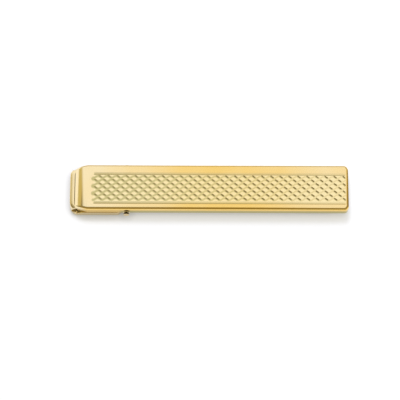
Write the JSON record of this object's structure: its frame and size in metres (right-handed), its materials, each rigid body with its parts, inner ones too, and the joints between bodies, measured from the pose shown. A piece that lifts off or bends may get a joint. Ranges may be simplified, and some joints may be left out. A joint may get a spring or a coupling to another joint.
{
  "type": "tie clip",
  "caption": "Slim hinged tie bar in gold finish with an engine-turned face, a spring box at one end and a sprung clip arm behind that grips the tie.",
  "frame": {"origin": "under the middle of the clip, on the surface that it lies on with its face up", "axes": "+X along the bar from the hinge end to the free end, +Y across the bar, +Z out of the engraved face"},
  "size_m": [0.055, 0.0104, 0.0034],
  "materials": {
    "engraved_gold": "bright polished gold plate with an engine-turned panel",
    "polished_gold": "polished gold plate",
    "arm_gold": "lengthwise brushed gold plate",
    "lining_gold": "satin gold plate",
    "pin_gold": "darkened wire with peened ends",
    "spring_steel": "rolled spring strip"
  },
  "bodies": {
    "bar": {"front_bar": "engraved_gold", "back_plate": "lining_gold", "spring_box": "polished_gold", "near_knuckle": "polished_gold", "far_knuckle": "polished_gold", "hinge_pin": "pin_gold", "leaf_spring": "spring_steel"},
    "arm": {"clip_arm": "arm_gold", "arm_knuckle": "polished_gold"}
  },
  "joints": [
    {"name": "arm_hinge", "type": "hinge", "parent": "bar", "child": "arm", "pos_m": [-0.01632, 0, 0.00131], "axis": [0, 1, 0], "range_deg": [0, 28], "stiffness_Nm_per_rad": 0.05, "springref_deg": -45.84, "deforming": ["leaf_spring"]}
  ]
}
